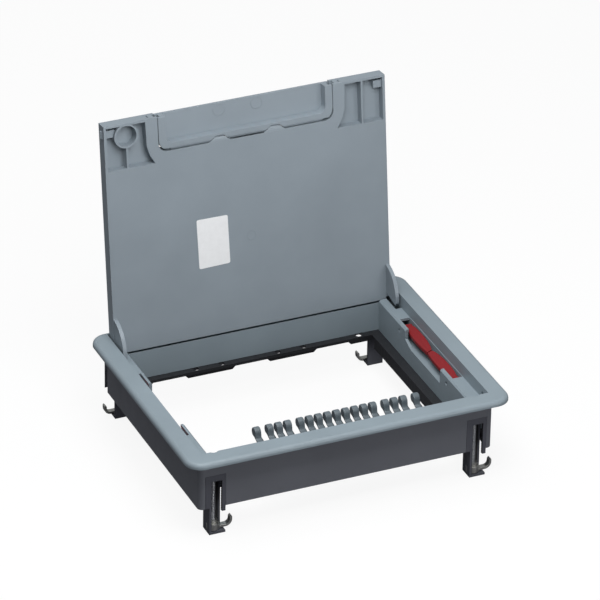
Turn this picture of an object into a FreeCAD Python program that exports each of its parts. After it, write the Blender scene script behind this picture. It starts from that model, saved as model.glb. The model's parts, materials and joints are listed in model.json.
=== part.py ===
"""Floor socket box with a hinged lid, built as an assembly of separate pieces, in millimetres.

The origin is the centre of the floor cut-out, in the plane of the finished floor, with +Z up.
X runs along the hinge line and the hinge is on the +Y side.  The box is shown with its lid open.
"""
import FreeCAD, Part
import math
import os

from FreeCAD import Vector as V

# ---- driving dimensions -------------------------------------------------------------------
CUT_W, CUT_D = 243.0, 196.0            # cut-out in the floor
LAP_SIDE, LAP_FRONT, LAP_BACK = 10.5, 10.0, 2.0   # flange beyond the cut-out
FLANGE_T = 4.5                         # flange above the floor
FLANGE_R = 13.0                        # its corners in plan
EDGE_R = 3.4                           # its bullnose
RIM_SIDE, RIM_FRONT, RIM_BACK = 4.2, 4.9, 1.8     # from the cut-out in to the lid opening
OPEN_X = CUT_W / 2 - RIM_SIDE          # half width of the lid opening
OPEN_FRONT = CUT_D / 2 - RIM_FRONT     # opening edge in front of the origin
OPEN_BACK = CUT_D / 2 - RIM_BACK       # opening edge behind the origin
RIM_WALL = 1.4                         # walls that hang from the flange

LEDGE_T = 2.4                          # ledge that the lid lies on
LEDGE_GAP = 0.3
LEDGE_SIDE, LEDGE_FRONT, LEDGE_BACK = 11.3, 11.1, 14.2     # its width, in to the inner walls
WELL_X = OPEN_X - LEDGE_SIDE           # half width between the inner walls
WELL_FRONT = OPEN_FRONT - LEDGE_FRONT  # inner walls in front of the origin
WELL_BACK = OPEN_BACK - LEDGE_BACK     # and behind it
WELL_T = 2.4
WELL_Z = -32.5                         # bottom of the inner walls
TROUGH_GAP = 3.1                       # below the lid's back edge, down to the floor of its trough
TROUGH_T = 1.8

LID_GAP = 1.0                          # beside the lid
LID_FRONT_GAP = 0.5
LID_T = 10.2
LID_OPEN = 96.6                        # degrees from shut to open
PIVOT_IN = 7.4                         # pivot in front of the opening's back edge
PIVOT_Y, PIVOT_Z = OPEN_BACK - PIVOT_IN, -0.5
BACK_R = 7.0                           # rounding of the lid's back edge about its pivot
RECESS_RIM = 3.2                       # rim round the plate on top of the lid
PLATE_T = 2.0
PLATE_GAP = 0.3
PIN_R = 2.0                            # lid hinge pins
PIN_FIT = 0.05                         # running clearance on a pin
PIN_SEAT = 0.02                        # clearance of a pin in its fixed seat
EAR_R, EAR_T, EAR_IN = 23.0, 3.0, 0.4  # side fins of the lid
EAR_TIP = 9.0                          # degrees that a fin reaches below level with the lid open
EAR_GAP = 0.5

FLAP_X = 72.0                          # half width of the cable flap
FLAP_D = 29.0                          # from the lid's free edge to the flap's hinge edge
FLAP_GAP = 0.5
FLAP_NOSE = 0.7                        # free edge of the flap behind the lid's edge
FLAP_SKIN = 2.4
FLAP_RIM = 6.5
KNUCKLE_R, KNUCKLE_W = 2.4, 12.0
KNUCKLE_X = (-22.4, 23.4)              # middle of each hinge knuckle
KNUCKLE_GAP = 0.4
FLAP_PIN_R, FLAP_PIN_L = 1.0, 24.0

CATCH_Y = 7.4                          # catch from the lid's free edge
CATCH_W, CATCH_H, CATCH_L = 6.0, 3.0, 9.0
CATCH_OUT = 1.6                        # nose beyond the side of the lid
CATCH_GAP = 0.15
CATCH_TRAVEL = 1.8

FIT_SIDE, FIT_FRONT, FIT_BACK = 1.0, 1.7, 0.5     # from the cut-out in to the housing
SKIRT_X = CUT_W / 2 - FIT_SIDE         # outer faces of the housing
SKIRT_FRONT, SKIRT_BACK = CUT_D / 2 - FIT_FRONT, CUT_D / 2 - FIT_BACK
SKIRT_T = 1.6
SKIRT_R = 4.0
SKIRT_Z = -42.5
SKIRT_LIP = 2.6                        # lip turned in along its lower edge
GROOVE_Z = 0.6                         # groove under the flange that the housing's edge sits in
GROOVE_GAP = 0.1
SEAT_GAP = 0.2                         # from the edge of the cut-out in to the groove

RAIL_T = 2.0                           # steel support frame
RAIL_SIDE = 8.0                        # how far it reaches in past the inner walls
RAIL_IN_X = WELL_X - RAIL_SIDE
RAIL_FRONT, RAIL_BACK = WELL_FRONT - 6.0, WELL_BACK - 10.8
RAIL_GAP = 0.3
TAB_OUT = 1.2
TAB_W, TAB_PITCH, TAB_SHIFT = 42.0, 69.0, -4.7
HOLE_R, HOLE_HALF, HOLE_IN = 2.25, 10.75, 2.2
HOLE_Y = WELL_BACK - HOLE_IN

LEVER_PIN_Y, LEVER_PIN_Z, LEVER_PIN_R = 43.2, -12.5, 1.5
CHANNEL_WALL, CHANNEL_EDGE = 2.9, 0.4
CHANNEL_IN, CHANNEL_OUT = WELL_X + CHANNEL_WALL, OPEN_X - CHANNEL_EDGE
CHANNEL_END = 48.5
LEVER_GAP = 0.5
LEVER_DROP = 0.6                       # below the ledge
LEVER_T = 5.0
LEVER_MEET = 0.6
WINDOW_Y, WINDOW_Z = 32.0, -18.5       # opening in the inner wall below the levers

RECESS_L, RECESS_R = -(FLAP_X + 2.0), FLAP_X + 12.0     # front recess for flap and comb
COMB_L, COMB_R = RECESS_L + 17.0, RECESS_R - 3.8
COMB_REACH = 32.5
COMB_FOOT_Y, COMB_FOOT_Z = 1.0 - WELL_FRONT, -29.4
COMB_TIP_Y, COMB_TIP_Z = COMB_FOOT_Y + COMB_REACH, -15.4
FINGERS = 17
FINGER_W, BULB_R, NECK = 4.5, 2.7, 1.5
FINGER_ENDS = (COMB_L + 2.9, COMB_R - 2.8)
FINGER_END_GAP = 11.0

LEG_IN = 13.3                          # middle of each claw guide, in from the housing's side
LEG_X = SKIRT_X - LEG_IN
LEG_W, LEG_D, LEG_T = 16.4, 12.4, 1.8
LEG_TOP, LEG_Z = -14.6, -66.0
LEG_GAP = 0.15
SLOT_W, SLOT_TOP = 7.8, LEG_TOP - 5.1
SCREW_R, SCREW_HEAD_R, HEAD_H = 2.0, 3.4, 2.4
SCREW_BACK = 5.6                       # screw axis behind the front of the guide
CLAW_Z = LEG_Z + 4.4                   # underside of a parked claw
CLAW_REACH, CLAW_H, CLAW_T, CLAW_W = 14.2, 11.0, 2.2, 5.0
CLIMB = 28.0                           # travel of a claw up its guide
CLAW_ROOM = 1.2                        # clear space round a climbing claw
PARK_TOP = CLAW_Z + CLAW_H + 3 * CLAW_ROOM        # top of the side opening that a parked claw uses
BUSH_R, BUSH_H = 3.3, 6.0

# ---- places worked out from them ----------------------------------------------------------
LID_X = OPEN_X - LID_GAP
LID_FRONT = -OPEN_FRONT + LID_FRONT_GAP
LID_UNDER = FLANGE_T - LID_T
LEDGE_Z = LID_UNDER - LEDGE_GAP
LEVER_TOP = LEDGE_Z - LEVER_DROP
TROUGH_Z = PIVOT_Z - BACK_R - TROUGH_GAP
FLAP_BACK = LID_FRONT + FLAP_D
FLAP_AXIS = V(0, FLAP_BACK - KNUCKLE_R, LID_UNDER + KNUCKLE_R)
RAIL_TOP = WELL_Z - 0.05
WELL_OUT_X = OPEN_X + RIM_WALL
HOOK_TOP = CLAW_Z + CLIMB + CLAW_H + 2 * CLAW_ROOM
PIVOT = V(0, PIVOT_Y, PIVOT_Z)
X, Y, Z = V(1, 0, 0), V(0, 1, 0), V(0, 0, 1)
os.makedirs("parts", exist_ok=True)


# ---- small helpers ------------------------------------------------------------------------
def box(x0, x1, y0, y1, z0, z1):
    """Block between two corners."""
    return Part.makeBox(x1 - x0, y1 - y0, z1 - z0, V(x0, y0, z0))


def rod(radius, start, length, axis=X):
    """Cylinder from a point along an axis."""
    return Part.makeCylinder(radius, length, start, axis)


def prism(points, direction):
    """Straight-sided outline pushed along a direction."""
    return Part.Face(Part.makePolygon(points + points[:1])).extrude(direction)


def rounded(x0, x1, y0, y1, radius, z0, z1):
    """Upright block with rounded corners in plan."""
    block = box(x0, x1, y0, y1, z0, z1)
    upright = [e for e in block.Edges if abs(e.tangentAt(e.FirstParameter).z) > 0.9]
    return block.makeFillet(radius, upright)


def fuse(shapes):
    """One solid from several that touch or overlap."""
    return shapes[0].multiFuse(shapes[1:]).removeSplitter()


def both(shape):
    """A shape and its mirror image across the middle of the box."""
    return [shape, shape.mirror(V(0, 0, 0), X)]


def opened(shape):
    """A piece of the lid turned from its shut place to its open one."""
    return shape.rotated(PIVOT, X, -LID_OPEN)


def save(name, *shapes):
    """Write the solids of one named piece."""
    solids = [s for shape in shapes for s in shape.Solids]
    whole = solids[0] if len(solids) == 1 else Part.makeCompound(solids)
    if not whole.isValid():
        raise ValueError(name + " is not valid")
    whole.exportStep("parts/" + name + ".step")


# ---- frame --------------------------------------------------------------------------------
def trim_frame():
    """Flange with its opening, the ledges and inner walls below it, and the hinge trough."""
    half_w = CUT_W / 2 + LAP_SIDE
    flange = rounded(-half_w, half_w, -CUT_D / 2 - LAP_FRONT, CUT_D / 2 + LAP_BACK, FLANGE_R, 0, FLANGE_T)
    top = [e for e in flange.Edges if all(abs(v.Z - FLANGE_T) < 1e-6 for v in e.Vertexes)]
    flange = flange.makeFillet(EDGE_R, top)
    well = rounded(-WELL_OUT_X, WELL_OUT_X, -OPEN_FRONT - RIM_WALL, WELL_BACK + WELL_T,
                   SKIRT_R - SKIRT_T, WELL_Z, GROOVE_Z + 0.5)
    trough = box(-WELL_OUT_X, WELL_OUT_X, WELL_BACK, OPEN_BACK + RIM_WALL,
                 TROUGH_Z - TROUGH_T, GROOVE_Z + 0.5)
    seat_x, seat_y = CUT_W / 2 - SEAT_GAP, CUT_D / 2 - SEAT_GAP
    groove = box(-seat_x, seat_x, -seat_y, seat_y, -1, GROOVE_Z)
    body = fuse([flange.cut(groove), well, trough])
    cuts = [
        box(-OPEN_X, OPEN_X, -OPEN_FRONT, OPEN_BACK, LEDGE_Z, FLANGE_T + 1),
        box(-WELL_X, WELL_X, -WELL_FRONT, WELL_BACK, WELL_Z - 1, LEDGE_Z + 1),
        box(-OPEN_X, OPEN_X, WELL_BACK, OPEN_BACK, TROUGH_Z, LEDGE_Z + 1),
        box(RECESS_L, RECESS_R, -OPEN_FRONT, -WELL_FRONT + 1, WELL_Z - 1, LEDGE_Z + 1),
    ]
    inner = WELL_X + WELL_T
    cuts += both(box(inner, CHANNEL_OUT, -OPEN_FRONT, WELL_BACK - WELL_T, WELL_Z - 1, LEDGE_Z - LEDGE_T))
    cuts += [
        box(RECESS_R + WELL_T, inner + 1, -OPEN_FRONT, -WELL_FRONT - WELL_T, WELL_Z - 1, LEDGE_Z - LEDGE_T),
        box(-inner - 1, RECESS_L - WELL_T, -OPEN_FRONT, -WELL_FRONT - WELL_T, WELL_Z - 1, LEDGE_Z - LEDGE_T),
    ]
    cuts += both(ear_room())
    cuts += both(box(CHANNEL_IN, CHANNEL_OUT, -CHANNEL_END, CHANNEL_END, LEDGE_Z - LEDGE_T - 1, LEDGE_Z + 1))
    window = [V(WELL_X - 1, -WINDOW_Y, LEDGE_Z + 1), V(WELL_X - 1, -WINDOW_Y, WINDOW_Z),
              V(WELL_X - 1, WINDOW_Y - 10, WINDOW_Z), V(WELL_X - 1, WINDOW_Y, WINDOW_Z + 4),
              V(WELL_X - 1, WINDOW_Y, LEDGE_Z + 1)]
    cuts += both(prism(window, V(CHANNEL_IN - WELL_X + 1.5, 0, 0)))
    body = body.cut(cuts)
    boss = box(WELL_OUT_X - 0.2, CUT_W / 2 - 0.3, PIVOT_Y - 3.9, PIVOT_Y + 3.9, PIVOT_Z - 3.9, GROOVE_Z + 0.5)
    body = fuse([body] + both(boss))
    holes = both(rod(PIN_R + PIN_SEAT, V(OPEN_X - 1, PIVOT_Y, PIVOT_Z), CUT_W / 2 - 1.0 - OPEN_X + 1))
    for y in (-LEVER_PIN_Y, LEVER_PIN_Y):
        holes += both(rod(LEVER_PIN_R + PIN_SEAT, V(WELL_X - 1, y, LEVER_PIN_Z), WELL_OUT_X - WELL_X + 2))
    nest = box(OPEN_X - 1, OPEN_X + CATCH_OUT - LID_GAP + 0.35, LID_FRONT + CATCH_Y - CATCH_W / 2 - 0.5,
               LID_FRONT + CATCH_Y + CATCH_W / 2 + 0.5, LID_UNDER + 1.6, LID_UNDER + CATCH_H + 2.6)
    for x in (-LEG_X, LEG_X):
        for back in (False, True):
            holes += [at_corner(s, x, back) for s in guide_room()]
    return body.cut(holes + both(nest))


def ear_room():
    """Room below the ledge for the lid's fin on the +X side."""
    return box(LID_X - EAR_IN - EAR_T - EAR_GAP, CHANNEL_OUT + 0.4, PIVOT_Y - EAR_R - 1.5, OPEN_BACK,
               PIVOT_Z - EAR_R - 1.5, LEDGE_Z + 1)


def guide_room():
    """Room in the frame for a claw guide, its claw, and a screwdriver from above."""
    w = LEG_W / 2 + LEG_GAP
    bay = box(-w, w, -1, LEG_D + LEG_GAP, WELL_Z - 1, LEG_TOP + 0.1 + HEAD_H + 0.3)
    hook = box(0, CLAW_REACH + CLAW_ROOM, -1, LEG_D + LEG_GAP, WELL_Z - 1, HOOK_TOP)
    return [bay, hook, rod(SCREW_HEAD_R + 0.4, V(0, SCREW_BACK, LEG_TOP), FLANGE_T - LEG_TOP + 1, Z)]


def claw_channel():
    """Way up through the housing's side and lip for a parked claw."""
    half = CLAW_W / 2 + CLAW_ROOM
    return box(0, CLAW_REACH + CLAW_ROOM, SCREW_BACK - half, SCREW_BACK + half, SKIRT_Z - 1, HOOK_TOP)


def lid_hinge_pin():
    """Steel pin from the frame into the side of the lid, on the +X side."""
    return rod(PIN_R, V(LID_X - 7.0, PIVOT_Y, PIVOT_Z), CUT_W / 2 - 1.2 - LID_X + 7.0)


def support_frame():
    """Steel frame below the inner walls, with its punched back rail and turned-down sides."""
    inset = SKIRT_T + RAIL_GAP
    side, front, back = SKIRT_X - inset, SKIRT_FRONT - inset, SKIRT_BACK - inset
    plate = box(-side, side, -front, back, RAIL_TOP - RAIL_T, RAIL_TOP)
    plate = plate.cut(box(-RAIL_IN_X, RAIL_IN_X, -RAIL_FRONT, RAIL_BACK, RAIL_TOP - 5, RAIL_TOP + 1))
    webs = both(box(RAIL_IN_X, RAIL_IN_X + RAIL_T, -RAIL_FRONT, RAIL_BACK, SKIRT_Z, RAIL_TOP - 0.5))
    tabs, holes = [], []
    for k in (-1, 0, 1, 2):
        middle = TAB_SHIFT + (k - 0.5) * TAB_PITCH
        left, right = max(middle - TAB_W / 2, -RAIL_IN_X), min(middle + TAB_W / 2, RAIL_IN_X)
        tabs.append(box(left, right, RAIL_BACK - TAB_OUT, RAIL_BACK + 1, RAIL_TOP - RAIL_T, RAIL_TOP))
        for x in (middle - HOLE_HALF, middle + HOLE_HALF):
            if abs(x) < WELL_X:
                holes.append(rod(HOLE_R, V(x, HOLE_Y, RAIL_TOP - 3), 4, Z))
    notch_w = LEG_X - LEG_W / 2 - LEG_GAP - 1.5
    for sx in (-1, 1):
        for sy in (-1, 1):
            reach = CLAW_REACH + CLAW_ROOM - LEG_W / 2 if sx * sy > 0 else 0
            x0, x1 = (-side - 1, -notch_w + reach) if sx < 0 else (notch_w - reach, side + 1)
            y0, y1 = -front - 1, -SKIRT_FRONT + LEG_D + 0.5
            if sy > 0:
                y0, y1 = SKIRT_BACK - LEG_D - 0.5, back + 1
            holes.append(box(x0, x1, y0, y1, RAIL_TOP - 3, RAIL_TOP + 1))
    plate = fuse([plate] + webs + tabs)
    return plate.cut(holes)


def housing_skirt():
    """Dark housing below the flange, cut away for the four claw guides."""
    outer = rounded(-SKIRT_X, SKIRT_X, -SKIRT_FRONT, SKIRT_BACK, SKIRT_R, SKIRT_Z, GROOVE_Z - GROOVE_GAP)
    t = SKIRT_T
    inner = rounded(-SKIRT_X + t, SKIRT_X - t, -SKIRT_FRONT + t, SKIRT_BACK - t, SKIRT_R - t, SKIRT_Z + t, 1)
    lip = t + SKIRT_LIP
    mouth = box(-SKIRT_X + lip, SKIRT_X - lip, -SKIRT_FRONT + lip, SKIRT_BACK - lip, SKIRT_Z - 1, SKIRT_Z + 3)
    below_trough = box(-SKIRT_X - 1, SKIRT_X + 1, SKIRT_BACK - t - 4, SKIRT_BACK + 1,
                       TROUGH_Z - TROUGH_T - 0.1, 1)
    cuts = [inner, mouth, below_trough]
    cuts += both(box(SKIRT_X - t - 1, SKIRT_X + 1, PIVOT_Y - 4.2, PIVOT_Y + 12, PIVOT_Z - 4.2, 1))
    for x in (-LEG_X, LEG_X):
        for back in (False, True):
            bay = box(-LEG_W / 2 - LEG_GAP, LEG_W / 2 + LEG_GAP, -1, LEG_D + LEG_GAP,
                      SKIRT_Z - 1, LEG_TOP + LEG_GAP)
            cuts += [at_corner(s, x, back) for s in (bay, claw_channel())]
    return outer.cut(cuts)


# ---- claws --------------------------------------------------------------------------------
def at_corner(shape, x, back):
    """Put a claw piece, drawn with its front face at y=0, at one corner of the housing."""
    if back:
        return shape.rotated(V(0, 0, 0), Z, 180).translated(V(x, SKIRT_BACK, 0))
    return shape.translated(V(x, -SKIRT_FRONT, 0))


def claw_guide():
    """Upright channel with a slot to the outside and a side opening for the parked claw."""
    w, t = LEG_W / 2, LEG_T
    body = box(-w, w, 0, LEG_D, LEG_Z, LEG_TOP)
    core = box(-w + t, w - t, t, LEG_D - t, LEG_Z + t, LEG_TOP - t)
    slot = box(-SLOT_W / 2, SLOT_W / 2, -1, t + 1, LEG_Z - 1, SLOT_TOP)
    side = box(w - t - 0.5, w + 1, t, LEG_D - t, LEG_Z + t, SLOT_TOP)
    park = box(SLOT_W / 2 - 1, w + 1, -1, LEG_D - t, LEG_Z + t, PARK_TOP)
    bevel = prism([V(-w - 1, -1, LEG_Z + 14), V(-w, -1, LEG_Z + 14), V(-w + 5, -1, LEG_Z - 1),
                   V(-w - 1, -1, LEG_Z - 1)], V(0, LEG_D + 2, 0))
    body = body.cut([core, slot, side, park, bevel])
    bore = rod(SCREW_R + 0.15, V(0, SCREW_BACK, LEG_Z - 1), LEG_TOP - LEG_Z + 2, Z)
    return body.cut(bore)


def claw_screw():
    """Long screw from the top of a guide down to its foot, with a recessed head."""
    top = LEG_TOP + 0.1
    shank = rod(SCREW_R, V(0, SCREW_BACK, LEG_Z + 0.3), top - LEG_Z, Z)
    head = rod(SCREW_HEAD_R, V(0, SCREW_BACK, top), HEAD_H, Z)
    cross = [box(-2.2, 2.2, SCREW_BACK - 0.4, SCREW_BACK + 0.4, top + 1.2, top + 3),
             box(-0.4, 0.4, SCREW_BACK - 2.2, SCREW_BACK + 2.2, top + 1.2, top + 3)]
    return fuse([shank, head]).cut(cross)


def claw_bush():
    """Threaded bush that climbs on the screw and carries the claw."""
    bush = rod(BUSH_R, V(0, SCREW_BACK, CLAW_Z), BUSH_H, Z)
    step = rod(BUSH_R + 1.1, V(0, SCREW_BACK, CLAW_Z), 1.2, Z)
    return fuse([bush, step]).cut(rod(SCREW_R + PIN_FIT, V(0, SCREW_BACK, CLAW_Z - 1), BUSH_H + 2, Z))


def claw():
    """Bent steel hook round the bush, pointing along +X as it is parked."""
    z0 = CLAW_Z + 1.25
    eye = rod(BUSH_R + 1.6, V(0, SCREW_BACK, z0), CLAW_T + 1.0, Z)
    r_out = 5.0
    inner, outer = CLAW_REACH - CLAW_T, CLAW_REACH
    path = Part.Wire([
        Part.makeLine(V(0, 0, z0), V(outer - r_out, 0, z0)),
        Part.Arc(V(outer - r_out, 0, z0), V(outer - r_out + r_out * math.sin(math.pi / 4), 0,
                 z0 + r_out * (1 - math.cos(math.pi / 4))), V(outer, 0, z0 + r_out)).toShape(),
        Part.makeLine(V(outer, 0, z0 + r_out), V(outer, 0, z0 + CLAW_H)),
        Part.makeLine(V(outer, 0, z0 + CLAW_H), V(inner, 0, z0 + CLAW_H - 1.6)),
        Part.makeLine(V(inner, 0, z0 + CLAW_H - 1.6), V(inner, 0, z0 + r_out)),
        Part.Arc(V(inner, 0, z0 + r_out), V(outer - r_out + (r_out - CLAW_T) * math.sin(math.pi / 4), 0,
                 z0 + CLAW_T + (r_out - CLAW_T) * (1 - math.cos(math.pi / 4))),
                 V(outer - r_out, 0, z0 + CLAW_T)).toShape(),
        Part.makeLine(V(outer - r_out, 0, z0 + CLAW_T), V(0, 0, z0 + CLAW_T)),
        Part.makeLine(V(0, 0, z0 + CLAW_T), V(0, 0, z0)),
    ])
    hook = Part.Face(path).extrude(V(0, CLAW_W, 0)).translated(V(0, SCREW_BACK - CLAW_W / 2, 0))
    bore = rod(BUSH_R + PIN_FIT, V(0, SCREW_BACK, z0 - 1), CLAW_H + 2, Z)
    return fuse([eye, hook]).cut(bore)


# ---- lid ----------------------------------------------------------------------------------
def lid_shell():
    """Lid moulding, drawn shut: rounded back edge, fins, corner pockets and flap opening."""
    plan = box(-LID_X, LID_X, LID_FRONT, PIVOT_Y, LID_UNDER, FLANGE_T)
    back = rod(BACK_R, V(-LID_X, PIVOT_Y, PIVOT_Z), 2 * LID_X)
    slab = box(-LID_X - 1, LID_X + 1, PIVOT_Y - BACK_R - 1, PIVOT_Y + BACK_R + 1, LID_UNDER, FLANGE_T)
    body = fuse([plan, back.common(slab)])
    ear = rod(EAR_R, V(LID_X - EAR_IN - EAR_T, PIVOT_Y, PIVOT_Z), EAR_T)
    below = math.radians(LID_OPEN + EAR_TIP)
    far = EAR_R * 3
    wedge = prism([V(LID_X - 9, PIVOT_Y, PIVOT_Z), V(LID_X - 9, PIVOT_Y - far, PIVOT_Z),
                   V(LID_X - 9, PIVOT_Y - far, PIVOT_Z - far),
                   V(LID_X - 9, PIVOT_Y - far * math.cos(below), PIVOT_Z - far * math.sin(below))], V(12, 0, 0))
    body = fuse([body] + both(ear.common(wedge)))
    rim = RECESS_RIM
    cuts = [box(-LID_X + rim, LID_X - rim, FLAP_BACK + rim, PIVOT_Y - rim,
                FLANGE_T - PLATE_T - PLATE_GAP, FLANGE_T + 1)]
    flap_room = FLAP_X + FLAP_GAP
    cuts.append(box(-flap_room, flap_room, LID_FRONT - 1, FLAP_BACK, LID_UNDER - 1, FLANGE_T + 1))
    for flip in (1, -1):
        corner = [V(82.5, LID_FRONT + 2.0, 0), V(114.2, LID_FRONT + 2.0, 0), V(114.2, LID_FRONT + 37.0, 0),
                  V(75.6, LID_FRONT + 37.0, 0), V(79.6, LID_FRONT + 30.0, 0), V(82.0, LID_FRONT + 22.0, 0)]
        corner = [V(flip * p.x, p.y, LID_UNDER - 1) for p in corner]
        cuts.append(prism(corner, V(0, 0, 8.0)))
    body = body.cut(cuts)
    floor_z = LID_UNDER + 7.2
    extras = [box(96.0, 97.6, LID_FRONT + 1.5, LID_FRONT + 37.2, LID_UNDER, floor_z),
              box(-98.8, -97.4, LID_FRONT + 19.0, LID_FRONT + 37.2, LID_UNDER, floor_z)]
    ring = rod(9.7, V(-98.2, LID_FRONT + 10.6, LID_UNDER), 7.2, Z).cut(
        rod(8.3, V(-98.2, LID_FRONT + 10.6, LID_UNDER - 1), 9, Z))
    extras.append(ring.common(box(-LID_X, 0, LID_FRONT + 1, 0, LID_UNDER - 1, FLANGE_T)))
    for x in KNUCKLE_X:
        eye = rod(KNUCKLE_R, FLAP_AXIS + V(x - KNUCKLE_W / 2, 0, 0), KNUCKLE_W)
        web = box(x - KNUCKLE_W / 2, x + KNUCKLE_W / 2, FLAP_AXIS.y, FLAP_BACK + 0.5,
                  LID_UNDER, LID_UNDER + 2 * KNUCKLE_R)
        extras += [eye, web]
    body = fuse([body] + extras)
    bores = both(rod(PIN_R + PIN_FIT, V(LID_X - 7.4, PIVOT_Y, PIVOT_Z), 9))
    for x in KNUCKLE_X:
        bores.append(rod(FLAP_PIN_R + PIN_SEAT, FLAP_AXIS + V(x - KNUCKLE_W, 0, 0), 2 * KNUCKLE_W))
    nest = box(LID_X - CATCH_L - CATCH_TRAVEL - 0.4, LID_X + 1, LID_FRONT + CATCH_Y - CATCH_W / 2 - CATCH_GAP,
               LID_FRONT + CATCH_Y + CATCH_W / 2 + CATCH_GAP, LID_UNDER + 2.1 - CATCH_GAP,
               LID_UNDER + 2.1 + CATCH_H + CATCH_GAP)
    return body.cut(bores + both(nest))


def lid_plate():
    """Flat steel plate let into the top of the lid."""
    rim = RECESS_RIM + PLATE_GAP
    return rounded(-LID_X + rim, LID_X - rim, FLAP_BACK + rim, PIVOT_Y - rim,
                   1.5, FLANGE_T - PLATE_T, FLANGE_T)


def lid_catch():
    """Sliding catch in the +X side of the lid, with a ramped nose."""
    y, z = LID_FRONT + CATCH_Y, LID_UNDER + 2.1
    nose = LID_X + CATCH_OUT
    outline = [V(nose - CATCH_OUT - CATCH_L, 0, z), V(nose - CATCH_OUT, 0, z), V(nose, 0, z + CATCH_H * 0.6),
               V(nose, 0, z + CATCH_H), V(nose - CATCH_OUT - CATCH_L, 0, z + CATCH_H)]
    return prism([p + V(0, y - CATCH_W / 2, 0) for p in outline], V(0, CATCH_W, 0))


def cable_flap():
    """Flap in the lid's free edge: a shallow tray that is open towards the cables."""
    front = LID_FRONT + FLAP_NOSE
    body = box(-FLAP_X, FLAP_X, front, FLAP_BACK - FLAP_GAP, LID_UNDER, FLANGE_T)
    swing = rod(KNUCKLE_R, V(-FLAP_X, FLAP_AXIS.y, FLAP_AXIS.z), 2 * FLAP_X)
    heel = box(-FLAP_X - 1, FLAP_X + 1, FLAP_AXIS.y, FLAP_BACK + 1, LID_UNDER - 1, FLAP_AXIS.z)
    body = body.cut(heel)
    body = fuse([body, swing])
    side = FLAP_X - FLAP_RIM
    back = FLAP_BACK - FLAP_GAP - FLAP_RIM + 1.5
    floor_z = FLANGE_T - FLAP_SKIN
    tray = [V(-side, front - 1, floor_z), V(-side, back - 5, floor_z), V(-side, back, LID_UNDER - 1),
            V(-side, front - 1, LID_UNDER - 1)]
    cuts = [prism(tray, V(2 * side, 0, 0))]
    for x in KNUCKLE_X:
        w = KNUCKLE_W / 2 + KNUCKLE_GAP
        cuts.append(box(x - w, x + w, FLAP_AXIS.y - KNUCKLE_R - KNUCKLE_GAP, FLAP_BACK + 1,
                        LID_UNDER - 1, FLAP_AXIS.z + KNUCKLE_R + 0.6))
        start = FLAP_AXIS + V(x - FLAP_PIN_L / 2 - 0.3, 0, 0)
        cuts.append(rod(FLAP_PIN_R + PIN_FIT, start, FLAP_PIN_L + 0.6))
    return body.cut(cuts)


def flap_pin(x):
    """Pin through one knuckle of the flap's hinge."""
    return rod(FLAP_PIN_R, FLAP_AXIS + V(x - FLAP_PIN_L / 2, 0, 0), FLAP_PIN_L)


# ---- levers and comb ----------------------------------------------------------------------
def lever(sx, sy):
    """Red rocker lever in the ledge, hinged at its outer end; sx and sy say which corner."""
    x0, x1 = CHANNEL_IN + LEVER_GAP, CHANNEL_OUT - LEVER_GAP
    y1 = LEVER_PIN_Y
    eye = rod(3.4, V(x0, y1, LEVER_PIN_Z), x1 - x0)
    arm = prism([V(x0, y1 + 2.4, LEVER_PIN_Z + 2.4), V(x0, y1 - 2.0, LEVER_TOP), V(x0, LEVER_MEET, LEVER_TOP),
                 V(x0, LEVER_MEET, LEVER_TOP - LEVER_T), V(x0, y1 - 12, LEVER_TOP - LEVER_T),
                 V(x0, y1 - 3.0, LEVER_PIN_Z - 1.4)], V(x1 - x0, 0, 0))
    grip = box(WELL_X + 0.9, x0 + 0.5, LEVER_MEET, WINDOW_Y - 7, LEVER_TOP - LEVER_T + 1, LEVER_TOP)
    scoop = rod(26.0, V(x1 + 23.4, 14.0, LEVER_TOP - LEVER_T - 1), LEVER_T + 2, Z)
    body = fuse([eye, arm, grip]).cut([scoop])
    body = body.cut(rod(LEVER_PIN_R + PIN_FIT, V(x0 - 1, y1, LEVER_PIN_Z), x1 - x0 + 2))
    if sy < 0:
        body = body.mirror(V(0, 0, 0), Y)
    return body.mirror(V(0, 0, 0), X) if sx < 0 else body


def lever_pins():
    """Four short pins through the inner walls and the levers."""
    pins = []
    for y in (-LEVER_PIN_Y, LEVER_PIN_Y):
        pins += both(rod(LEVER_PIN_R, V(WELL_X + 0.2, y, LEVER_PIN_Z), WELL_OUT_X - WELL_X - 0.4))
    return pins


def finger_places():
    """Middle of each comb finger, with a wider gap at both ends."""
    first, last = FINGER_ENDS
    pitch = (last - first - 2 * FINGER_END_GAP) / (FINGERS - 3)
    return [first] + [first + FINGER_END_GAP + k * pitch for k in range(FINGERS - 2)] + [last]


def cable_comb():
    """Foot bar with a row of rising fingers that end in round bulbs."""
    foot = box(COMB_L, COMB_R, -OPEN_FRONT + 0.1, COMB_FOOT_Y, WELL_Z, COMB_FOOT_Z - 0.8)
    run = V(0, COMB_TIP_Y - COMB_FOOT_Y, COMB_TIP_Z - COMB_FOOT_Z)
    up = V(0, -run.z, run.y).normalize()
    start = V(0, COMB_FOOT_Y - 1.5, COMB_FOOT_Z - 1.2)
    end = V(0, COMB_TIP_Y - 0.5, COMB_TIP_Z)
    solids = [foot]
    for x in finger_places():
        blade = prism([start - up * 1.8, end - up * NECK, end + up * NECK, start + up * 2.6],
                      V(FINGER_W, 0, 0))
        bulb = rod(BULB_R, end, FINGER_W)
        solids += [s.translated(V(x - FINGER_W / 2, 0, 0)) for s in (blade, bulb)]
    return fuse(solids)


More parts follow.
